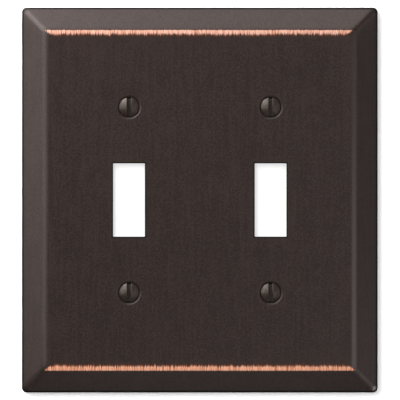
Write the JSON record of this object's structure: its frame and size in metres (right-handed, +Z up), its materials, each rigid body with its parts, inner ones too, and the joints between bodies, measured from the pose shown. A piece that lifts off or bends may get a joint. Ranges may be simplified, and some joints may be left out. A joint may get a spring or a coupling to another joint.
{
  "type": "wall plate cover",
  "caption": "Stamped steel two-gang wall plate with toggle openings, a bevelled edge and slotted oval-head screws, in aged bronze.",
  "frame": {"origin": "centre of the plane where the plate's rim meets the wall", "axes": "+Z up the wall, +X to the right as a person facing the plate sees it, +Y into the wall, so the face looks along -Y"},
  "size_m": [0.1158, 0.0137, 0.1254],
  "materials": {
    "plate_bronze": "aged bronze paint on steel, satin, with copper showing where the face meets its top and bottom bevels",
    "screw_bronze": "aged bronze paint on a steel screw, satin"
  },
  "bodies": {
    "plate": {"wall_plate": "plate_bronze"},
    "screw_top_left": {"screw_top_left": "screw_bronze"},
    "screw_top_right": {"screw_top_right": "screw_bronze"},
    "screw_bottom_left": {"screw_bottom_left": "screw_bronze"},
    "screw_bottom_right": {"screw_bottom_right": "screw_bronze"}
  },
  "joints": [
    {"name": "screw_top_left_slide", "type": "slide", "parent": "plate", "child": "screw_top_left", "axis": [0, -1, 0], "range_m": [0, 0.0127]},
    {"name": "screw_top_right_slide", "type": "slide", "parent": "plate", "child": "screw_top_right", "axis": [0, -1, 0], "range_m": [0, 0.0127]},
    {"name": "screw_bottom_left_slide", "type": "slide", "parent": "plate", "child": "screw_bottom_left", "axis": [0, -1, 0], "range_m": [0, 0.0127]},
    {"name": "screw_bottom_right_slide", "type": "slide", "parent": "plate", "child": "screw_bottom_right", "axis": [0, -1, 0], "range_m": [0, 0.0127]}
  ]
}
